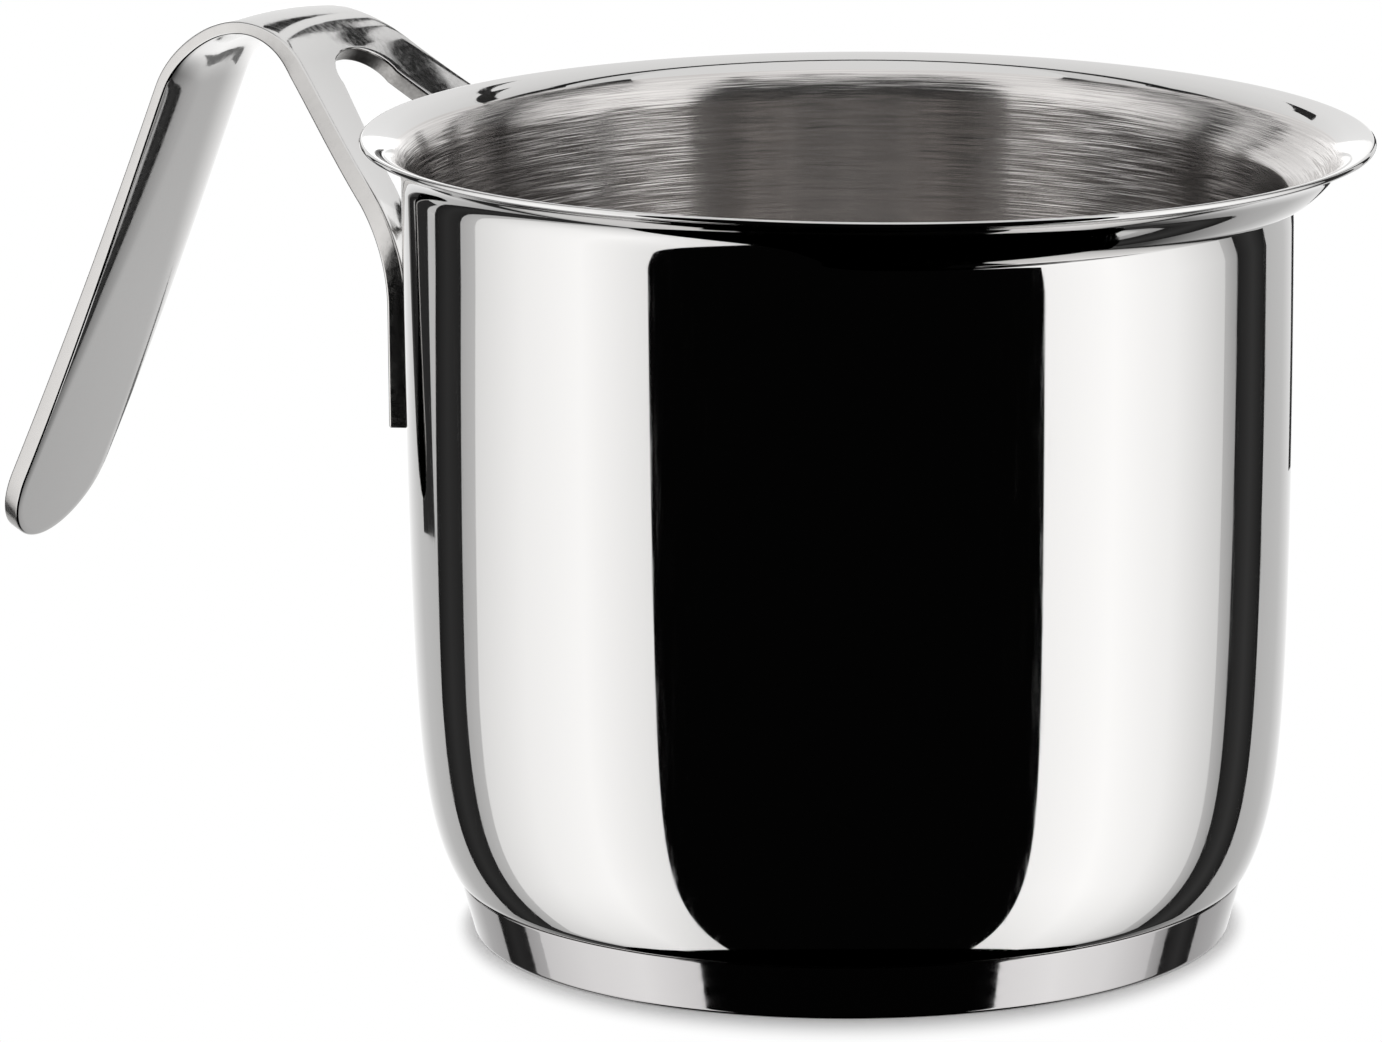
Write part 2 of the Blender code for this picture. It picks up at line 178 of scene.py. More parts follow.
# Camera, where the photograph was taken from: metres, degrees, and pixels of the photograph
CAMERA_AZIMUTH = 32.0               # round the pot from its -Y side
CAMERA_DISTANCE = 1.40973
CAMERA_HEIGHT = 0.37473
CAMERA_YAW = 1.0257                 # turned to the left of the pot's axis
CAMERA_PITCH = -12.3584
CAMERA_ROLL = -0.4928
CAMERA_RANGE = 20                   # it sees this far
SENSOR_WIDTH = 36.0
PHOTO_WIDTH = 1382
FOCAL_PIXELS = 9044.17

# Studio round the pot, in metres from the pot's axis and above its foot
CARD_DISTANCE = 0.41
BACK_DISTANCE = 0.42
BAR_DISTANCE = 0.31
CARD_ROW = 0.02                     # height of a row of the cards' faces
CARDS_LOW = -0.6
BACKDROP_LOW = 0.05
BACKDROP_HIGH = 0.2
CARDS_HIGH = 0.9
POSTS_HIGH = 0.66
LEAN_LOW = -0.065                   # the cards' edges start to lean at this height
LEAN_HIGH = 0.045                   # and are back upright here
DISC_SEGMENTS = 64
FLOOR_REACH = 4.0
SHADOW_AHEAD = 11.0 * MM            # reach of the soft shadow on the floor, in front of the pot
SHADOW_ASIDE = 3.2 * MM


def linear(hex_colour):
    """A colour written as sRGB hex, as linear red, green, blue and alpha."""
    channels = [int(hex_colour[i:i + 2], 16) / 255 for i in (1, 3, 5)]
    return (*[c / 12.92 if c <= 0.04045 else ((c + 0.055) / 1.055) ** 2.4 for c in channels], 1)


def add(tree, kind, inputs=None, **settings):
    """Add a node. The inputs are values or other nodes' outputs, by the socket's name or number."""
    node = tree.nodes.new(kind)
    for name, value in settings.items():
        setattr(node, name, value)
    for socket, value in (inputs or {}).items():
        if isinstance(value, bpy.types.NodeSocket):
            tree.links.new(value, node.inputs[socket])
        else:
            node.inputs[socket].default_value = value
    return node


def new_material(name, colour, roughness, metallic=1):
    """A material, with its tree, its Principled BSDF and the Object coordinates that a pattern reads."""
    material = bpy.data.materials.new(name)
    material.use_nodes = True
    shader = material.node_tree.nodes["Principled BSDF"]
    shader.inputs["Base Color"].default_value = linear(colour)
    shader.inputs["Metallic"].default_value = metallic
    shader.inputs["Roughness"].default_value = roughness
    place = add(material.node_tree, "ShaderNodeTexCoord").outputs["Object"]
    return material, material.node_tree, shader, place


def polished_stainless_steel():
    """Stainless steel, drawn and buffed to a mirror: clear reflections, with faint buffing marks."""
    material, tree, shader, place = new_material("mirror_polished_stainless_steel", "#CFCECD", 0.03)
    marks_place = add(tree, "ShaderNodeMapping", {
        "Vector": place, "Rotation": BUFFING_LEAN, "Scale": (1.0, 1.0, 0.05)}).outputs["Vector"]
    marks = add(tree, "ShaderNodeTexNoise", {
        "Vector": marks_place, "Scale": 1 / BUFFING_MARKS, "Detail": 3.0, "Roughness": 0.6}).outputs["Fac"]
    haze = add(tree, "ShaderNodeMapRange", {
        "Value": marks, "From Min": 0.5, "From Max": 0.8, "To Min": 0.028, "To Max": 0.1}).outputs["Result"]
    tree.links.new(haze, shader.inputs["Roughness"])
    return material


def brushed_stainless_steel():
    """Stainless steel, brushed round on a lathe: light spreads up and down, across the fine lines."""
    material, tree, shader, place = new_material("lathe_brushed_stainless_steel", "#CFCCCA", 0.2)
    shader.inputs["Anisotropic"].default_value = 1.0
    up = add(tree, "ShaderNodeTangent", direction_type="UV_MAP", uv_map="UVMap").outputs["Tangent"]
    tree.links.new(up, shader.inputs["Tangent"])
    place = add(tree, "ShaderNodeSeparateXYZ", {"Vector": place}).outputs
    run = add(tree, "ShaderNodeAttribute", attribute_name="run").outputs["Fac"]
    brushing = add(tree, "ShaderNodeAttribute", attribute_name="brushing").outputs["Fac"]

    def scratches(length, spacing, detail):
        """Noise round zero, stretched round the pot: scratches of a length and a spacing."""
        stretched = [add(tree, "ShaderNodeMath", {0: value, 1: 1 / size}, operation="MULTIPLY").outputs[0]
                     for value, size in ((place["X"], length), (place["Y"], length), (run, spacing))]
        vector = add(tree, "ShaderNodeCombineXYZ", dict(enumerate(stretched))).outputs[0]
        noise = add(tree, "ShaderNodeTexNoise",
                    {"Vector": vector, "Scale": 1.0, "Detail": detail}).outputs["Fac"]
        return add(tree, "ShaderNodeMath", {0: noise, 1: 0.5}, operation="SUBTRACT").outputs[0]

    # The eye can tell the lines apart, and the grit's finer ones only spread the light
    lines = scratches(BRUSHED_LINE_LENGTH, BRUSHED_LINES, 2.0)
    grit = scratches(GRIT_LINE_LENGTH, GRIT_LINES, 0.0)
    lean = 0.0
    for scratch, slope in ((grit, GRIT_LINE_SLOPE), (lines, BRUSHED_LINE_SLOPE)):
        lean = add(tree, "ShaderNodeMath", {0: scratch, 1: slope, 2: lean},
                   operation="MULTIPLY_ADD").outputs[0]
    lean = add(tree, "ShaderNodeMath", {0: lean, 1: brushing}, operation="MULTIPLY").outputs[0]
    leaning = add(tree, "ShaderNodeVectorMath", {0: up, "Scale": lean}, operation="SCALE").outputs[0]
    normal = add(tree, "ShaderNodeNewGeometry").outputs["Normal"]
    tilted = add(tree, "ShaderNodeVectorMath", {0: normal, 1: leaning}, operation="ADD").outputs[0]
    tilted = add(tree, "ShaderNodeVectorMath", {0: tilted}, operation="NORMALIZE").outputs[0]
    tree.links.new(tilted, shader.inputs["Normal"])
    rough = add(tree, "ShaderNodeMix", {"Factor": brushing, "A": 0.04, "B": 0.2},
                data_type="FLOAT").outputs[0]
    tree.links.new(rough, shader.inputs["Roughness"])
    shade = add(tree, "ShaderNodeMapRange",
                {"Value": lines, "From Min": -0.25, "From Max": 0.25}).outputs["Result"]
    tint = add(tree, "ShaderNodeMix", {
        "Factor": shade, "A": linear("#C2BFBD"), "B": linear("#DAD7D5")},
        data_type="RGBA").outputs["Result"]
    tree.links.new(tint, shader.inputs["Base Color"])
    return material


def polished_strip_steel():
    """Thick steel strip, polished by hand: a softer mirror, faintly waved, with a long grain."""
    material, tree, shader, place = new_material("hand_polished_strip_steel", "#CFCECD", 0.06)
    grain_place = add(tree, "ShaderNodeMapping", {
        "Vector": place, "Rotation": STRIP_GRAIN_LEAN, "Scale": (0.06, 1.0, 1.0)}).outputs["Vector"]
    grain = add(tree, "ShaderNodeTexNoise", {
        "Vector": grain_place, "Scale": 1 / STRIP_GRAIN, "Detail": 3.0}).outputs["Fac"]
    haze = add(tree, "ShaderNodeMapRange", {
        "Value": grain, "From Min": 0.35, "From Max": 0.75,
        "To Min": 0.05, "To Max": 0.12}).outputs["Result"]
    tree.links.new(haze, shader.inputs["Roughness"])
    waves = add(tree, "ShaderNodeTexNoise", {
        "Vector": place, "Scale": 1 / STRIP_WAVES, "Detail": 1.0}).outputs["Fac"]
    bump = add(tree, "ShaderNodeBump", {
        "Strength": 0.12, "Distance": STRIP_WAVE_DEPTH, "Height": waves}).outputs["Normal"]
    tree.links.new(bump, shader.inputs["Normal"])
    return material


def linished_edge_steel():
    """The strip's outer edges, rounded on a belt: satin steel, a little greyer, with the belt's marks."""
    material, tree, shader, place = new_material("linished_edge_steel", "#BFBDBB", 0.2)
    marks = add(tree, "ShaderNodeTexNoise", {
        "Vector": place, "Scale": 1 / BELT_MARKS, "Detail": 3.0}).outputs["Fac"]
    haze = add(tree, "ShaderNodeMapRange", {
        "Value": marks, "From Min": 0.3, "From Max": 0.7, "To Min": 0.16, "To Max": 0.26}).outputs["Result"]
    tree.links.new(haze, shader.inputs["Roughness"])
    bump = add(tree, "ShaderNodeBump", {
        "Strength": 0.4, "Distance": BELT_MARK_DEPTH, "Height": marks}).outputs["Normal"]
    tree.links.new(bump, shader.inputs["Normal"])
    return material


def ground_cut_steel():
    """The wall of the handle's slot, left as it was cut and ground: dull and darker, with rough marks."""
    material, tree, shader, place = new_material("ground_cut_steel", "#A09E9C", 0.38)
    marks = add(tree, "ShaderNodeTexNoise", {
        "Vector": place, "Scale": 1 / GRINDING_MARKS, "Detail": 3.0}).outputs["Fac"]
    shade = add(tree, "ShaderNodeMix", {
        "Factor": marks, "A": linear("#7E7C7A"), "B": linear("#B8B6B4")},
        data_type="RGBA").outputs["Result"]
    tree.links.new(shade, shader.inputs["Base Color"])
    bump = add(tree, "ShaderNodeBump", {
        "Strength": 0.5, "Distance": GRINDING_MARK_DEPTH, "Height": marks}).outputs["Normal"]
    tree.links.new(bump, shader.inputs["Normal"])
    return material


def polished_ferritic_steel():
    """Magnetic steel sheet, polished on the base's side: a mirror with a slight spin-turned waviness."""
    material, tree, shader, place = new_material("polished_magnetic_steel", "#BAB8B8", 0.05)
    waves_place = add(tree, "ShaderNodeMapping", {
        "Vector": place, "Scale": (0.5, 0.5, 1.0)}).outputs["Vector"]
    waves = add(tree, "ShaderNodeTexNoise", {
        "Vector": waves_place, "Scale": 1 / SPIN_WAVES, "Detail": 1.0}).outputs["Fac"]
    bump = add(tree, "ShaderNodeBump", {
        "Strength": 0.3, "Distance": SPIN_WAVE_DEPTH, "Height": waves}).outputs["Normal"]
    tree.links.new(bump, shader.inputs["Normal"])
    haze = add(tree, "ShaderNodeMapRange", {
        "Value": waves, "From Min": 0.3, "From Max": 0.7, "To Min": 0.04, "To Max": 0.07}).outputs["Result"]
    tree.links.new(haze, shader.inputs["Roughness"])
    return material


def rolled_aluminium():
    """Aluminium plate as rolled: satin, with fine straight rolling lines."""
    material, tree, shader, place = new_material("mill_finish_aluminium", "#DEDFE0", 0.35)
    lines_place = add(tree, "ShaderNodeMapping", {
        "Vector": place, "Scale": (0.03, 1.0, 1.0)}).outputs["Vector"]
    lines = add(tree, "ShaderNodeTexNoise", {
        "Vector": lines_place, "Scale": 1 / ROLLING_LINES, "Detail": 2.0}).outputs["Fac"]
    haze = add(tree, "ShaderNodeMapRange", {
        "Value": lines, "From Min": 0.3, "From Max": 0.7, "To Min": 0.28, "To Max": 0.42}).outputs["Result"]
    tree.links.new(haze, shader.inputs["Roughness"])
    return material


def turning_tree():
    """Geometry nodes that turn a section round Z into a sheet-metal piece and press its pouring lip."""
    tree = bpy.data.node_groups.new("Turned piece", "GeometryNodeTree")
    tree.interface.new_socket("Section", in_out="INPUT", socket_type="NodeSocketGeometry")
    tree.interface.new_socket("Columns", in_out="INPUT", socket_type="NodeSocketInt")
    for name in ("Lip reach", "Lip drop", "Lip sink", "Lip height", "Lip rise", "Lip half angle",
                 "Rim height"):
        tree.interface.new_socket(name, in_out="INPUT", socket_type="NodeSocketFloat")
    for name in ("Outside", "Inside"):
        tree.interface.new_socket(name, in_out="INPUT", socket_type="NodeSocketMaterial")
    tree.interface.new_socket("Piece", in_out="OUTPUT", socket_type="NodeSocketGeometry")
    given = add(tree, "NodeGroupInput").outputs
    section = given["Section"]

    # A grid with a row for each point of the section, and a first and last column that meet
    rows = add(tree, "GeometryNodeAttributeDomainSize", {"Geometry": section}).outputs["Point Count"]
    across = add(tree, "FunctionNodeIntegerMath", {0: given["Columns"], 1: 1}, operation="ADD").outputs[0]
    grid = add(tree, "GeometryNodeMeshGrid",
               {"Size X": 1.0, "Size Y": 1.0, "Vertices X": rows, "Vertices Y": across})
    index = add(tree, "GeometryNodeInputIndex").outputs[0]
    row = add(tree, "FunctionNodeIntegerMath", {0: index, 1: across}, operation="DIVIDE_FLOOR").outputs[0]
    column = add(tree, "FunctionNodeIntegerMath", {0: index, 1: across}, operation="MODULO").outputs[0]
    position = add(tree, "GeometryNodeInputPosition").outputs[0]
    values = {name: add(tree, "GeometryNodeInputNamedAttribute", {"Name": name},
                        data_type="FLOAT").outputs["Attribute"] for name in ("run", "brushing")}
    kinds = {"position": (position, "FLOAT_VECTOR"), "run": (values["run"], "FLOAT"),
             "brushing": (values["brushing"], "FLOAT")}
    sampled = {name: add(tree, "GeometryNodeSampleIndex",
                         {"Geometry": section, "Value": value, "Index": row},
                         data_type=kind).outputs["Value"] for name, (value, kind) in kinds.items()}
    place = add(tree, "ShaderNodeSeparateXYZ", {"Vector": sampled["position"]}).outputs

    # Each point turned to its place, and drawn outwards and down by the lip. A step has a name and an
    # operation, and works on the tree's inputs, on steps before it and on plain numbers
    known = {socket.name: socket for socket in given if socket.name}
    known |= {"column": column, "radius": place["X"], "height": place["Z"]}
    for name, operation, *terms in (
            ("turn", "DIVIDE", "column", "Columns"),
            ("turn", "SUBTRACT", "turn", 0.5),
            ("turn", "MULTIPLY", "turn", math.tau),
            ("below rim", "SUBTRACT", "Rim height", "height"),
            ("share", "SUBTRACT", "Lip height", "below rim"),
            ("share", "DIVIDE", "share", "Lip rise"),
            ("share", "MAXIMUM", "share", 0.0),
            ("share", "MINIMUM", "share", 1.0),
            ("square", "POWER", "share", 2.0),
            ("double", "MULTIPLY", "share", 2.0),
            ("eased", "SUBTRACT", 3.0, "double"),
            ("eased", "MULTIPLY", "square", "eased"),
            ("facing", "ABSOLUTE", "turn"),
            ("facing", "DIVIDE", "facing", "Lip half angle"),
            ("facing", "MINIMUM", "facing", 1.0),
            ("facing", "MULTIPLY", "facing", math.pi / 2),
            ("facing", "COSINE", "facing"),
            ("facing", "POWER", "facing", 2.0),
            ("pull", "MULTIPLY", "eased", "Lip reach"),
            ("pull", "MULTIPLY", "pull", "facing"),
            ("radius", "ADD", "radius", "pull"),
            ("rest", "SUBTRACT", 1.0, "eased"),
            ("sink", "MULTIPLY", "eased", 4.0),
            ("sink", "MULTIPLY", "sink", "rest"),
            ("sink", "MULTIPLY", "sink", "Lip sink"),
            ("drop", "MULTIPLY", "eased", "Lip drop"),
            ("drop", "ADD", "drop", "sink"),
            ("drop", "MULTIPLY", "drop", "facing"),
            ("cosine", "COSINE", "turn"),
            ("sine", "SINE", "turn"),
            ("X", "MULTIPLY", "radius", "cosine"),
            ("Y", "MULTIPLY", "radius", "sine"),
            ("Z", "SUBTRACT", "height", "drop")):
        inputs = {i: known.get(term, term) for i, term in enumerate(terms)}
        known[name] = add(tree, "ShaderNodeMath", inputs, operation=operation).outputs[0]
    turned_place = add(tree, "ShaderNodeCombineXYZ", {axis: known[axis] for axis in "XYZ"}).outputs[0]
    geometry = add(tree, "GeometryNodeSetPosition",
                   {"Geometry": grid.outputs["Mesh"], "Position": turned_place}).outputs[0]

    # What the brushed finish reads: the length along the section, the share of brushing, and the grid's UVs
    for name in ("run", "brushing"):
        geometry = add(tree, "GeometryNodeStoreNamedAttribute",
                       {"Geometry": geometry, "Name": name, "Value": sampled[name]},
                       data_type="FLOAT", domain="POINT").outputs[0]
    geometry = add(tree, "GeometryNodeStoreNamedAttribute",
                   {"Geometry": geometry, "Name": "UVMap", "Value": grid.outputs["UV Map"]},
                   data_type="FLOAT2", domain="CORNER").outputs[0]
    geometry = add(tree, "GeometryNodeMergeByDistance",
                   {"Geometry": geometry, "Distance": MERGE}).outputs[0]
    geometry = add(tree, "GeometryNodeSetShadeSmooth", {"Geometry": geometry}).outputs[0]
    geometry = add(tree, "GeometryNodeRealizeInstances", {"Geometry": geometry}).outputs[0]
    geometry = add(tree, "GeometryNodeSetMaterial",
                   {"Geometry": geometry, "Material": given["Outside"]}).outputs[0]
    inside = add(tree, "FunctionNodeCompare", {"A": values["brushing"], "B": 0.0},
                 data_type="FLOAT", operation="GREATER_THAN").outputs[0]
    geometry = add(tree, "GeometryNodeSetMaterial",
                   {"Geometry": geometry, "Material": given["Inside"], "Selection": inside}).outputs[0]
    add(tree, "NodeGroupOutput", {0: geometry})
    return tree


def add_object(name, data):
    piece = bpy.data.objects.new(name, data)
    bpy.context.scene.collection.objects.link(piece)
    return piece


def plain_mesh(piece):
    """Give the piece the mesh that its modifiers make, as its own."""
    evaluated = piece.evaluated_get(bpy.context.evaluated_depsgraph_get())
    mesh = bpy.data.meshes.new_from_object(evaluated)
    piece.modifiers.clear()
    piece.data = mesh
    mesh.name = piece.name
    while mesh.materials and mesh.materials[0] is None:
        mesh.materials.pop(index=0)
    return mesh


def turned(name, section, tree, inputs):
    """A turned piece from its section of (radius, height, brushing), which starts and ends on the axis."""
    mesh = bpy.data.meshes.new(name)
    edges = [(i, i + 1) for i in range(len(section) - 1)]
    mesh.from_pydata([(radius, 0, height) for radius, height, brushing in section], edges, [])
    run = mesh.attributes.new("run", "FLOAT", "POINT")
    brushing = mesh.attributes.new("brushing", "FLOAT", "POINT")
    length = 0
    for i, point in enumerate(section):
        if i:
            length += math.dist(point[:2], section[i - 1][:2])
        run.data[i].value = length
        brushing.data[i].value = point[2]
    piece = add_object(name, mesh)
    modifier = piece.modifiers.new("Turn", "NODES")
    modifier.node_group = tree
    for socket in tree.interface.items_tree:
        if socket.name in inputs:
            modifier[socket.identifier] = inputs[socket.name]
    plain_mesh(piece)
    return piece


def arc(centre_x, centre_z, radius, start, end, count):
    """Points on an arc in the XZ plane, from the angle start to the angle end."""
    angles = [start + (end - start) * i / count for i in range(count + 1)]
    return [(centre_x + radius * math.cos(a), centre_z + radius * math.sin(a)) for a in angles]


def wall_radius(height):
    """Outside radius of the wall at a height above the body's underside."""
    taper = max(0, 1 - height / TAPER_HEIGHT) ** 2
    return WALL_RADIUS - TAPER * taper - TURN_IN * math.exp(-height / TURN_IN_FADE)


def wall_slope(height):
    """How fast that radius grows with the height."""
    taper = 2 * TAPER / TAPER_HEIGHT * max(0, 1 - height / TAPER_HEIGHT)
    return taper + TURN_IN / TURN_IN_FADE * math.exp(-height / TURN_IN_FADE)


def corner():
    """Centre radius, round and turn of the body's lower corner, which meets the belly without a kink."""
    turn = math.pi / 2 - math.atan(wall_slope(CORNER_HEIGHT))
    round_radius = CORNER_HEIGHT / (1 - math.cos(turn))
    centre = wall_radius(CORNER_HEIGHT) - round_radius * math.sin(turn)
    return centre, round_radius, turn


def corner_height(radius):
    """Height of the body's round lower corner above the ground at a radius."""
    centre, round_radius, _ = corner()
    out = min(max(radius - centre, 0), round_radius)
    return BODY_BOTTOM + round_radius - math.sqrt(round_radius ** 2 - out ** 2)


def body_outside():
    """The body's outer face from the axis to the edge of the rim, as (radius, height, normal angle)."""
    centre, round_radius, turn = corner()
    points = [(centre * i / FLAT_RINGS, BODY_BOTTOM, -math.pi / 2) for i in range(FLAT_RINGS)]
    for i in range(CORNER_STEPS + 1):
        angle = -math.pi / 2 + turn * i / CORNER_STEPS
        height = BODY_BOTTOM + round_radius + round_radius * math.sin(angle)
        points.append((centre + round_radius * math.cos(angle), height, angle))
    lip_start = BODY_HEIGHT - LIP_HEIGHT
    flare_start = BODY_HEIGHT - FLARE_HEIGHT
    heights = [CORNER_HEIGHT + (lip_start - CORNER_HEIGHT) * (i / WALL_STEPS) ** WALL_CROWDING
               for i in range(1, WALL_STEPS)]
    heights += [lip_start + (flare_start - lip_start) * i / LIP_STEPS for i in range(LIP_STEPS)]
    for height in heights:
        points.append((wall_radius(height), BODY_BOTTOM + height, -math.atan(wall_slope(height))))
    reach = (RIM_OVERHANG - BODY_SHEET / 2) / (1 - math.cos(FLARE_SWEEP))
    rise = FLARE_HEIGHT / math.sin(FLARE_SWEEP) - BODY_SHEET
    for i in range(FLARE_STEPS + 1):
        sweep = FLARE_SWEEP * i / FLARE_STEPS
        radius = WALL_RADIUS + reach * (1 - math.cos(sweep))
        height = BODY_BOTTOM + flare_start + rise * math.sin(sweep)
        normal = -math.atan2(reach * math.sin(sweep), rise * math.cos(sweep))
        points.append((radius, height, normal))
    return points


def body_section():
    """The shell's section: the inside from the axis up, the rounded rim, and the outside down."""
    outside = body_outside()
    inside = []
    for radius, height, angle in outside:
        x = max(radius - BODY_SHEET * math.cos(angle), 0)
        z = height - BODY_SHEET * math.sin(angle)
        brushing = min(max((RIM_HEIGHT - POLISH_DEPTH - z) / POLISH_FADE, 0), 1)
        inside.append((x, z, brushing))
    edge_radius, edge_height, edge_angle = outside[-1]
    half = BODY_SHEET / 2
    middle = (edge_radius - half * math.cos(edge_angle), edge_height - half * math.sin(edge_angle))
    rim = arc(*middle, half, edge_angle + math.pi, edge_angle, ROUND_STEPS)[1:-1]
    section = inside + [(radius, height, 0) for radius, height in rim]
    return section + [(radius, height, 0) for radius, height, angle in reversed(outside)]


def turning_inputs(outside, inside, reach=0.0, drop=0.0, sink=0.0):
    """Inputs of the turning tree. Without a reach, a drop and a sink the piece has no lip."""
    return {"Columns": TURN_COLUMNS, "Lip reach": reach, "Lip drop": drop, "Lip sink": sink,
            "Lip height": LIP_HEIGHT, "Lip rise": LIP_RISE, "Lip half angle": LIP_HALF_ANGLE,
            "Rim height": RIM_HEIGHT, "Outside": outside, "Inside": inside}


def pot_body(tree, polished, brushed):
    """The drawn shell with its flared rim and its lip, polished outside and brushed inside."""
    inputs = turning_inputs(polished, brushed, LIP_REACH, LIP_DROP, LIP_SINK)
    piece = turned("polished_pot", body_section(), tree, inputs)
    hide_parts("pot_body")
    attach(piece, "root")


def cap_radii():
    """Outside radii of the base cap at its foot and at its rim, which lies against the body's corner."""
    centre, round_radius, _ = corner()
    rim = centre + round_radius * math.sin(CAP_SEAT_TURN)
    return rim - CAP_TAPER, rim


def cap_edge(rim, tilt):
    """The small round between the cap's rim, which follows the body's corner, and its straight side."""
    top = Vector((-math.sin(CAP_SEAT_TURN), math.cos(CAP_SEAT_TURN)))
    side = Vector((math.cos(tilt), -math.sin(tilt)))
    corner_point = Vector((rim, corner_height(rim) - CAP_SEAM))
    centre = corner_point - CAP_EDGE_ROUND * (top + side) / (1 + top.dot(side))
    return arc(*centre, CAP_EDGE_ROUND, math.pi / 2 + CAP_SEAT_TURN, -tilt, ROUND_STEPS)


def base_cap(tree, material):
    """A shallow cup whose rim follows the body's round lower corner."""
    foot, rim = cap_radii()
    foot_centre = foot - CAP_FOOT_ROUND
    tilt = math.atan((rim - foot) / (corner_height(rim) - CAP_FOOT_ROUND))
    foot_round = arc(foot_centre, CAP_FOOT_ROUND, CAP_FOOT_ROUND, -tilt, -math.pi / 2, ROUND_STEPS)
    edge = cap_edge(rim, tilt)
    section = [(foot * i / FLAT_RINGS, CAP_SHEET) for i in range(FLAT_RINGS)]
    section += [(foot - CAP_SHEET, CAP_SHEET)]
    for i in range(RIM_STEPS):
        radius = rim - CAP_SHEET + (edge[0][0] - rim + CAP_SHEET) * i / RIM_STEPS
        section.append((radius, corner_height(radius) - CAP_SEAM))
    start, end = Vector(edge[-1]), Vector(foot_round[0])
    down = (end - start).normalized() * CAP_SUPPORT
    section += edge + [tuple(start + down)]
    section += [tuple(start.lerp(end, i / SIDE_STEPS)) for i in range(1, SIDE_STEPS)]
    section += [tuple(end - down)] + foot_round
    section += [(foot * i / FLAT_RINGS, 0) for i in range(FLAT_RINGS - 1, -1, -1)]
    piece = turned("capped_base", [(radius, height, 0) for radius, height in section], tree,
                   turning_inputs(material, material))
    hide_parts("base_cap")
    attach(piece, "root")


def heat_spreader(tree, material):
    """The aluminium disc between the cap's floor and the pot."""
    low, high = SPREADER_BOX
    radius = cap_radii()[0] - CAP_SHEET - GAP
    edge = radius - SPREADER_EDGE_ROUND
    section = [(edge * i / FLAT_RINGS, high.z) for i in range(FLAT_RINGS)]
    section += arc(edge, high.z - SPREADER_EDGE_ROUND, SPREADER_EDGE_ROUND, math.pi / 2, 0, ROUND_STEPS)
    section += arc(edge, low.z + SPREADER_EDGE_ROUND, SPREADER_EDGE_ROUND, 0, -math.pi / 2, ROUND_STEPS)
    section += [(edge * i / FLAT_RINGS, low.z) for i in range(FLAT_RINGS - 1, -1, -1)]
    piece = turned("aluminium_disc", [(radius, height, 0) for radius, height in section], tree,
                   turning_inputs(material, material))
    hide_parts("heat_spreader")
    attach(piece, "root")


def handle_route():
    """Lengths along the strip where its runs and bends end, measured from the grip's tip."""
    bend_end = GRIP_LENGTH + BEND_RADIUS * (GRIP_SLOPE + DESCENT_SLOPE)
    descent_end = bend_end + DESCENT_LENGTH
    leg_bend_end = descent_end + LEG_BEND_RADIUS * (math.pi / 2 - DESCENT_SLOPE)
    top = GRIP_LENGTH + BEND_RADIUS * GRIP_SLOPE
    return top, bend_end, descent_end, leg_bend_end, leg_bend_end + LEG_SEAT_LENGTH


def strip_centre(length):
    """Place (x, z) and heading of the strip's outer face in the plane of symmetry, at a length along it."""
    _, bend_end, descent_end, leg_bend_end, _ = handle_route()
    if length >= leg_bend_end:
        return -SEAT_RADIUS, SEAT_TOP - (length - leg_bend_end), -math.pi / 2
    if length >= descent_end:
        heading = -DESCENT_SLOPE - (length - descent_end) / LEG_BEND_RADIUS
        x = -SEAT_RADIUS - LEG_BEND_RADIUS * (1 + math.sin(heading))
        return x, SEAT_TOP + LEG_BEND_RADIUS * math.cos(heading), heading
    x = -SEAT_RADIUS - LEG_BEND_RADIUS * (1 - math.sin(DESCENT_SLOPE))
    z = SEAT_TOP + LEG_BEND_RADIUS * math.cos(DESCENT_SLOPE)
    back = descent_end - max(length, bend_end)
    x -= back * math.cos(DESCENT_SLOPE)
    z += back * math.sin(DESCENT_SLOPE)
    if length >= bend_end:
        return x, z, -DESCENT_SLOPE
    centre_x = x - BEND_RADIUS * math.sin(DESCENT_SLOPE)
    centre_z = z - BEND_RADIUS * math.cos(DESCENT_SLOPE)
    heading = min(GRIP_SLOPE, -DESCENT_SLOPE + (bend_end - length) / BEND_RADIUS)
    x = centre_x - BEND_RADIUS * math.sin(heading)
    z = centre_z + BEND_RADIUS * math.cos(heading)
    if length >= GRIP_LENGTH:
        return x, z, heading
    bow_radius = GRIP_LENGTH / GRIP_BOW
    heading = GRIP_SLOPE - (GRIP_LENGTH - length) / bow_radius
    x -= bow_radius * (math.sin(GRIP_SLOPE) - math.sin(heading))
    z += bow_radius * (math.cos(GRIP_SLOPE) - math.cos(heading))
    return x, z, heading


def ease(share):
    share = min(max(share, 0), 1)
    return share * share * (3 - 2 * share)


def half_width(length):
    """Half the width over the whole fork at a length along the strip."""
    top, _, _, leg_bend_end, _ = handle_route()
    spread = ease((length - top + SPREAD_LEAD) / (leg_bend_end - top + SPREAD_LEAD))
    return GRIP_WIDTH / 2 + (FORK_WIDTH - GRIP_WIDTH) / 2 * spread


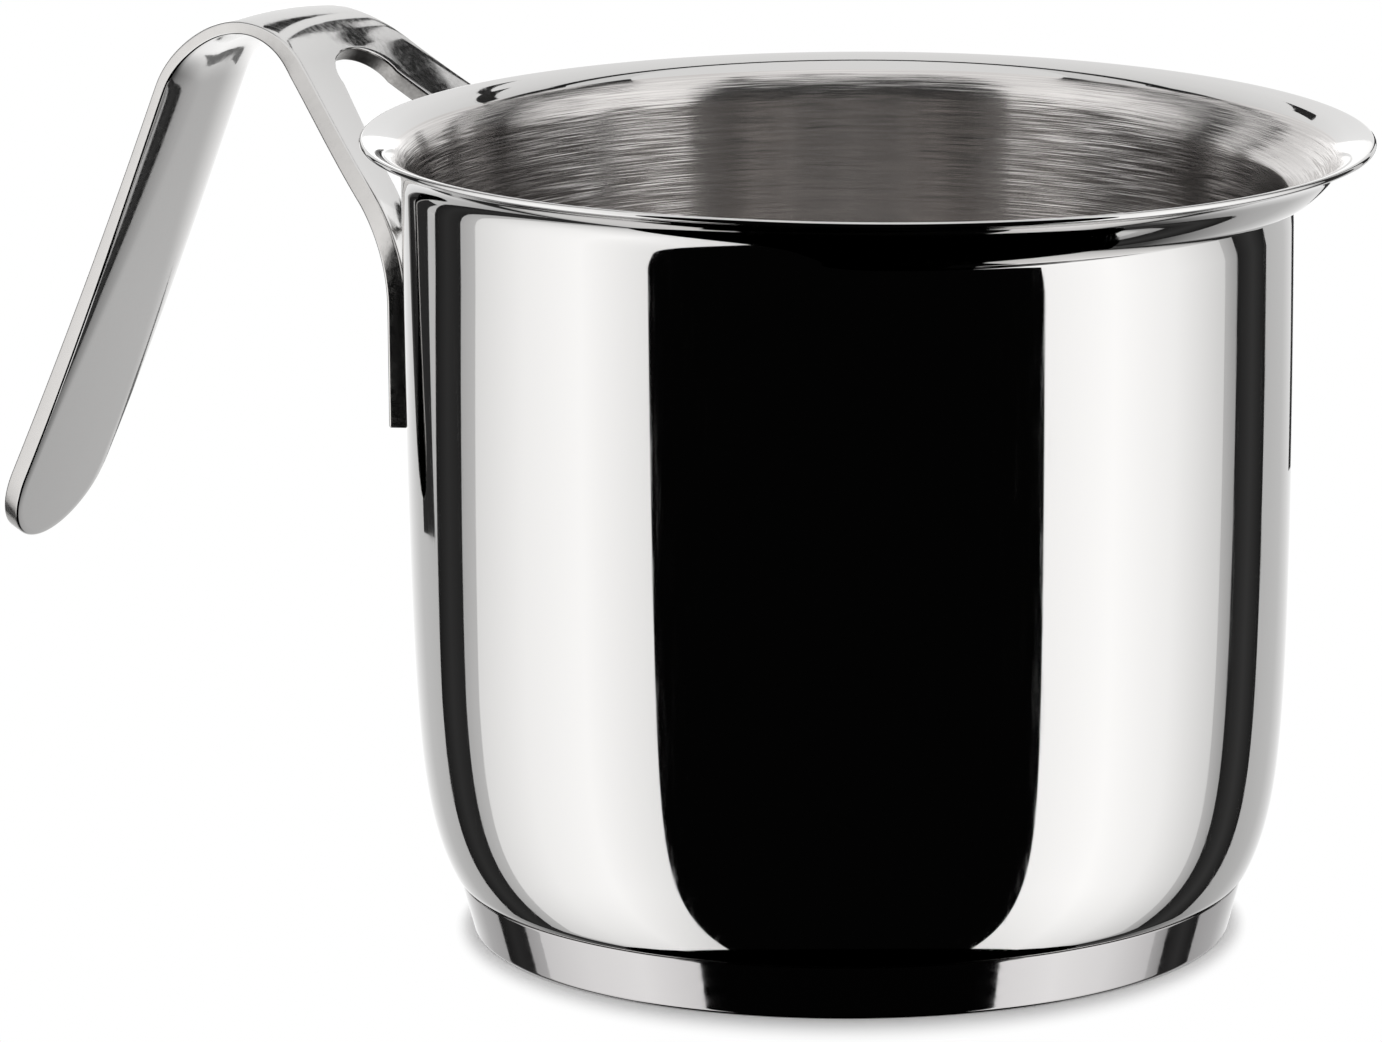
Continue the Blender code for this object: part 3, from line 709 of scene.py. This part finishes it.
def sheet_rows():
    """Pairs of points (length, width) on the middle line or slot and on the edge, from tip to legs."""
    top, _, descent_end, leg_bend_end, strip_end = handle_route()
    slot_start = top + SLOT_SETBACK
    slot_side = slot_start + SLOT_END_LENGTH
    half = GRIP_WIDTH / 2
    rows = []
    for i in range(TIP_ROWS):
        angle = math.pi / 2 * i / TIP_ROWS
        along = GRIP_TIP_LENGTH - (GRIP_TIP_LENGTH - GRIP_TIP_TRIM) * math.cos(angle)
        rows.append(((GRIP_TIP_LENGTH, 0), (along, half * math.sin(angle))))
    lean = ROW_LEAN_SHARE * GRIP_WIDTH
    slant = (slot_start - lean - GRIP_TIP_LENGTH) / (slot_start - GRIP_TIP_LENGTH)
    stations = [GRIP_TIP_LENGTH + (GRIP_LENGTH - GRIP_TIP_LENGTH) * i / GRIP_ROWS
                for i in range(GRIP_ROWS)]
    stations += [GRIP_LENGTH + (slot_start - GRIP_LENGTH) * i / BEND_ROWS for i in range(BEND_ROWS)]
    for station in stations:
        outer = GRIP_TIP_LENGTH + (station - GRIP_TIP_LENGTH) * slant
        rows.append(((station, 0), (outer, half_width(outer))))
    outer_start = slot_start - lean
    slot_width = half_width(slot_side) - LEG_WIDTH
    for i in range(SLOT_END_ROWS):
        angle = math.pi / 2 * i / SLOT_END_ROWS
        inner = (slot_start + SLOT_END_LENGTH * (1 - math.cos(angle)), slot_width * math.sin(angle))
        outer = outer_start + (slot_side - outer_start) * i / SLOT_END_ROWS
        rows.append((inner, (outer, half_width(outer))))
    legs = [(slot_side, descent_end, DESCENT_ROWS), (descent_end, leg_bend_end, LEG_BEND_ROWS),
            (leg_bend_end, strip_end, SEAT_ROWS)]
    for start, end, count in legs:
        for i in range(count):
            station = start + (end - start) * i / count
            rows.append(((station, half_width(station) - LEG_WIDTH), (station, half_width(station))))
    rows.append(((strip_end, half_width(strip_end) - LEG_WIDTH), (strip_end, half_width(strip_end))))
    return rows


def column_share(column, row_length):
    """How far along its row a column lies: closer together outwards, with a narrow one at each end."""
    support = EDGE_SUPPORT / row_length
    if column in (0, SHEET_COLUMNS):
        return column / SHEET_COLUMNS
    even = (column - 1) / (SHEET_COLUMNS - 2)
    return support + (1 - 2 * support) * (even + COLUMN_CROWDING * even * (1 - even))


def half_sheet():
    """The flat blank on one side of the plane of symmetry: X runs along the strip and Y across it."""
    rows = sheet_rows()
    sheet = bmesh.new()
    last = len(rows) - 1
    bmesh.ops.create_grid(sheet, x_segments=last, y_segments=SHEET_COLUMNS, size=1)
    for vertex in sheet.verts:
        row = round((vertex.co.x + 1) / 2 * last)
        column = round((vertex.co.y + 1) / 2 * SHEET_COLUMNS)
        inner, outer = rows[row]
        share = column_share(column, math.dist(inner, outer))
        along = inner[0] + (outer[0] - inner[0]) * share
        across = inner[1] + (outer[1] - inner[1]) * share
        vertex.co = (along, across, 0)
    bmesh.ops.remove_doubles(sheet, verts=sheet.verts, dist=MERGE)
    mesh = bpy.data.meshes.new("handle")
    sheet.to_mesh(mesh)
    sheet.free()
    return mesh


def shoulder(along, across, depth):
    """How far the grip's inner face falls away near its edge, where the bending drew it thin."""
    if depth > -STRIP_THICKNESS / 2:
        return 0
    share = ease((along - GRIP_TIP_LENGTH) / (GRIP_LENGTH - GRIP_TIP_LENGTH))
    fade = 1 - ease((along - handle_route()[0]) / (BEND_RADIUS * DESCENT_SLOPE))
    width = SHOULDER_WIDTH_AT_TIP + (SHOULDER_WIDTH - SHOULDER_WIDTH_AT_TIP) * share
    drop = (SHOULDER_DROP_AT_TIP + (SHOULDER_DROP - SHOULDER_DROP_AT_TIP) * share) * fade
    inside = max(half_width(along) - abs(across), 0)
    return drop * max(1 - inside / width, 0) ** 2


def dome(along, across):
    """How far the bend stands out from a plain one: domed at the top, with edges that fall away."""
    top = handle_route()[0]
    near = ease(1 - abs(along - top) / DOME_REACH)
    edge = (across / half_width(along)) ** 2
    droop = 4 * near * (1 - near) * EDGE_DROOP if along < top else 0
    return DOME_RISE * near * (1 - edge) - droop * edge


def bend(mesh):
    """Carry the flat blank to the handle's shape, hollowing the legs to the roundness of the wall."""
    wrap_start = handle_route()[0] - WRAP_LEAD
    for vertex in mesh.vertices:
        along, across, depth = vertex.co
        x, z, heading = strip_centre(along)
        share = min(max((along - wrap_start) / WRAP_LENGTH, 0), 1)
        wrap = ease(share)
        wrap_rate = 6 * share * (1 - share) / WRAP_LENGTH
        root = math.sqrt(SEAT_RADIUS ** 2 - across ** 2)
        hollow = SEAT_RADIUS - root
        run = math.cos(heading) + wrap_rate * hollow
        tilt = math.sin(heading) * wrap * across / root
        size = math.sqrt(math.sin(heading) ** 2 + tilt ** 2 + run ** 2)
        normal = Vector((-math.sin(heading), tilt, run)) / size
        height = depth + shoulder(along, across, depth) + dome(along, across)
        vertex.co = Vector((x + wrap * hollow, across, z)) + height * normal


def mark_edges(mesh):
    """Give the outer edges and the slot's cut wall their own materials, while the blank is still flat."""
    slot_start = handle_route()[0] + SLOT_SETBACK
    strip_end = handle_route()[-1]
    for face in mesh.polygons:
        along, across, _ = face.center
        if abs(face.normal.z) > EDGE_FACING:
            continue
        in_slot = abs(across) < half_width(along) - LEG_WIDTH + CUT_MARGIN
        on_cut = slot_start - CUT_MARGIN < along < strip_end - CUT_MARGIN and in_slot
        face.material_index = 1 if on_cut else 2


def strip_handle(polished, cut, edge):
    """One strip: grip, bend over the top, and two legs that lie against the pot's wall."""
    piece = add_object("strip_handle", half_sheet())
    mirror = piece.modifiers.new("Other half", "MIRROR")
    mirror.use_axis = (False, True, False)
    mirror.merge_threshold = MERGE
    solidify = piece.modifiers.new("Thickness", "SOLIDIFY")
    solidify.thickness = STRIP_THICKNESS
    solidify.offset = -1
    bevel = piece.modifiers.new("Rounded edges", "BEVEL")
    bevel.width = STRIP_EDGE_ROUND
    bevel.segments = EDGE_SEGMENTS
    bevel.limit_method = "ANGLE"
    bevel.angle_limit = EDGE_LIMIT
    mesh = plain_mesh(piece)
    mesh.materials.append(polished)
    mesh.materials.append(cut)
    mesh.materials.append(edge)
    mark_edges(mesh)
    bend(mesh)
    mesh.shade_smooth()
    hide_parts("handle")
    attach(piece, "root")


def round_pot(azimuth, distance, height):
    """A place at an azimuth to the right of the camera's side, and at a distance from the axis."""
    turn = math.radians(CAMERA_AZIMUTH + azimuth)
    return Vector((math.sin(turn) * distance, -math.cos(turn) * distance, height))


def glow():
    """A studio card's own light, as strong at each point as the card's attribute says."""
    material = bpy.data.materials.new("studio_card")
    material.use_nodes = True
    tree = material.node_tree
    tree.nodes.clear()
    light = add(tree, "ShaderNodeAttribute", attribute_name="light").outputs["Fac"]
    shader = add(tree, "ShaderNodeEmission", {"Strength": light})
    add(tree, "ShaderNodeOutputMaterial", {"Surface": shader.outputs[0]})
    return material


def between(values, share):
    """A value from a row of evenly spaced ones."""
    place = share * (len(values) - 1)
    i = min(int(place), len(values) - 2) if len(values) > 1 else 0
    return values[i] + (values[min(i + 1, len(values) - 1)] - values[i]) * (place - i)


def add_card(name, sheet, lights, material):
    """Make the card's mesh an object that only the steel sees."""
    mesh = bpy.data.meshes.new(name)
    sheet.to_mesh(mesh)
    sheet.free()
    mesh.attributes.new("light", "FLOAT", "POINT").data.foreach_set("value", lights)
    mesh.materials.append(material)
    piece = add_object(name, mesh)
    piece.visible_camera = False
    piece.visible_diffuse = False
    piece.visible_shadow = False


def card(material, name, left, right, low, high, lights, shares=(1, 1), rise=0, lean=(0, 0),
         distance=CARD_DISTANCE, flat=False):
    """A studio card round the pot, from left to right in degrees from the camera's side.

    The lights lie evenly from left to right, and their shares from low to high. The rise lifts the right
    edge. The lean turns the left and right edges by so many degrees where the card stands above the table.
    """
    columns = max(2, round(abs(right - left)))
    rows = max(2, round((high - low) / CARD_ROW))
    sheet = bmesh.new()
    bmesh.ops.create_grid(sheet, x_segments=columns, y_segments=rows, size=1)
    glows = []
    for vertex in sheet.verts:
        across = (vertex.co.x + 1) / 2
        up = (vertex.co.y + 1) / 2
        height = low + (high - low) * up
        above_table = min(max((height - LEAN_LOW) / (LEAN_HIGH - LEAN_LOW), 0), 1)
        azimuth = left + (right - left) * across + above_table * between(lean, across)
        off_middle = math.radians(azimuth - (left + right) / 2)
        reach = distance / math.cos(off_middle) if flat else distance
        vertex.co = round_pot(azimuth, reach, height + rise * across)
        glows.append(between(lights, across) * between(shares, up))
    add_card(name, sheet, glows, material)


def disc_card(material, name, height, radius, strength):
    """A level round studio card over or under the pot."""
    sheet = bmesh.new()
    bmesh.ops.create_circle(sheet, cap_ends=True, segments=DISC_SEGMENTS, radius=radius)
    bmesh.ops.translate(sheet, verts=sheet.verts, vec=(0, 0, height))
    add_card(name, sheet, [strength] * len(sheet.verts), material)


def studio():
    """Two tall softboxes with a black flag between them, a pale room behind, and a dark table far below."""
    material = glow()
    tall = (CARDS_LOW, CARDS_HIGH)
    soft = (0.8, 1, 1, 0.85, 0.7)
    left_lean = (6.1, 4.8)
    right_lean = (0.8, 0.8)
    card(material, "front_flag", -47.7, 46.8, *tall, (0.0015,))
    card(material, "left_softbox", -107.5, -47.7, *tall, (1.08, 1.36, 1.5, 1.22), soft, lean=(4.8, 0))
    card(material, "left_softbox_edge", -114.2, -107.5, *tall, (0.6, 0.72), soft, lean=(4.8, 4.8))
    card(material, "left_gap", -129.6, -114.2, *tall, (0.015, 0.04, 0.025), lean=left_lean)
    card(material, "right_softbox", 46.8, 103.9, *tall, (1.4, 1.55, 1.36, 0.96), soft, lean=(0, 0.8))
    card(material, "right_softbox_edge", 103.9, 109.6, *tall, (0.7, 0.5), soft, lean=right_lean)
    card(material, "right_gap", 109.6, 126.4, *tall, (0.02, 0.05, 0.015), lean=right_lean)
    for name, low, high, lights, shares in (
            ("back_below", CARDS_LOW, BACKDROP_LOW, (0.68, 0.7, 1.0, 1.4, 1.1, 0.72, 0.68),
             (0.1, 0.12, 0.5, 0.82, 0.95, 1)),
            ("backdrop", BACKDROP_LOW, BACKDROP_HIGH, (0.7, 0.8, 1.1, 1.5, 1.6, 0.95, 0.9), (1, 1)),
            ("back_wall", BACKDROP_HIGH, CARDS_HIGH, (0.88, 0.9, 1.0, 1.05, 1.0, 0.9, 0.88), (1, 1))):
        card(material, name, 123, 237, low, high, lights, shares, distance=BACK_DISTANCE)
    card(material, "back_bar", 139, 221, 0.582, POSTS_HIGH, (0.02,), distance=BAR_DISTANCE, flat=True)
    card(material, "left_post", -142, -134.5, 0.12, POSTS_HIGH, (0.03,))
    card(material, "left_stand", -138, -128.6, -0.02, 0.12, (0.03,))
    card(material, "right_post", 134.5, 142, 0.06, POSTS_HIGH, (0.03,))
    card(material, "right_stand", 154, 160, -0.01, 0.22, (0.03,))
    card(material, "low_stand", 162, 176, -0.17, -0.125, (0.2,))
    card(material, "boom_arm", 146, 166, 0.442, 0.482, (0.03,), rise=-0.014)
    card(material, "boom", 166, 178.3, 0.428, 0.443, (0.03,), rise=-0.06)
    card(material, "boom_end", 185, 193, 0.315, 0.36, (0.03,))
    disc_card(material, "dark_table", CARDS_LOW, BACK_DISTANCE, 0.0)
    disc_card(material, "ceiling", CARDS_HIGH, BACK_DISTANCE, 1.05)


def floor():
    """A pale floor that the camera sees plain white, apart from the pot's soft shadow at its foot."""
    sheet = bmesh.new()
    bmesh.ops.create_grid(sheet, x_segments=1, y_segments=1, size=FLOOR_REACH)
    mesh = bpy.data.meshes.new("floor")
    sheet.to_mesh(mesh)
    sheet.free()
    piece = add_object("floor", mesh)
    piece.visible_glossy = False
    material, tree, shader, place = new_material("pale_floor", "#FFFFFF", 1.0, metallic=0)
    shader.inputs["Specular IOR Level"].default_value = 0
    reach = add(tree, "ShaderNodeVectorMath", {0: place}, operation="LENGTH").outputs["Value"]
    forward = add(tree, "ShaderNodeVectorMath", {0: place, 1: round_pot(0, 1, 0)},
                  operation="DOT_PRODUCT").outputs["Value"]
    ahead = add(tree, "ShaderNodeMath", {0: forward, 1: reach},
                operation="DIVIDE", use_clamp=True).outputs[0]
    ahead = add(tree, "ShaderNodeMath", {0: ahead, 1: 2.0}, operation="POWER").outputs[0]
    foot = cap_radii()[0]
    end = add(tree, "ShaderNodeMath", {0: ahead, 1: SHADOW_AHEAD, 2: foot + SHADOW_ASIDE},
              operation="MULTIPLY_ADD").outputs[0]
    shadow = add(tree, "ShaderNodeMapRange", {
        "Value": reach, "From Min": foot, "From Max": end, "To Min": 0.0, "To Max": 1.0},
        interpolation_type="SMOOTHSTEP").outputs["Result"]
    white = add(tree, "ShaderNodeEmission").outputs[0]
    mix = add(tree, "ShaderNodeMixShader", {0: shadow, 1: shader.outputs[0], 2: white})
    tree.links.new(mix.outputs[0], tree.nodes["Material Output"].inputs["Surface"])
    mesh.materials.append(material)


def world():
    """White all round, at the level at which a colour renders as it is written."""
    scene_world = bpy.data.worlds.new("white_world")
    bpy.context.scene.world = scene_world
    scene_world.use_nodes = True
    scene_world.cycles.sampling_method = "NONE"
    background = scene_world.node_tree.nodes["Background"]
    background.inputs["Color"].default_value = (1, 1, 1, 1)
    background.inputs["Strength"].default_value = 1


def camera():
    """The camera at the photograph's place, turned and tilted as it was."""
    data = bpy.data.cameras.new("camera")
    data.sensor_width = SENSOR_WIDTH
    data.lens = FOCAL_PIXELS / PHOTO_WIDTH * SENSOR_WIDTH
    data.clip_end = CAMERA_RANGE
    piece = add_object("camera", data)
    turn = Matrix.Rotation(math.radians(CAMERA_AZIMUTH + CAMERA_YAW), 4, "Z")
    pitch = Matrix.Rotation(math.radians(90 + CAMERA_PITCH), 4, "X")
    roll = Matrix.Rotation(math.radians(CAMERA_ROLL), 4, "Z")
    place = Matrix.Translation(round_pot(0, CAMERA_DISTANCE, CAMERA_HEIGHT))
    piece.matrix_world = place @ turn @ pitch @ roll
    bpy.context.scene.camera = piece


def main():
    turning = turning_tree()
    pot_body(turning, polished_stainless_steel(), brushed_stainless_steel())
    base_cap(turning, polished_ferritic_steel())
    heat_spreader(turning, rolled_aluminium())
    strip_handle(polished_strip_steel(), ground_cut_steel(), linished_edge_steel())
    studio()
    floor()
    world()
    camera()
    bpy.context.scene.view_settings.view_transform = "Standard"


main()
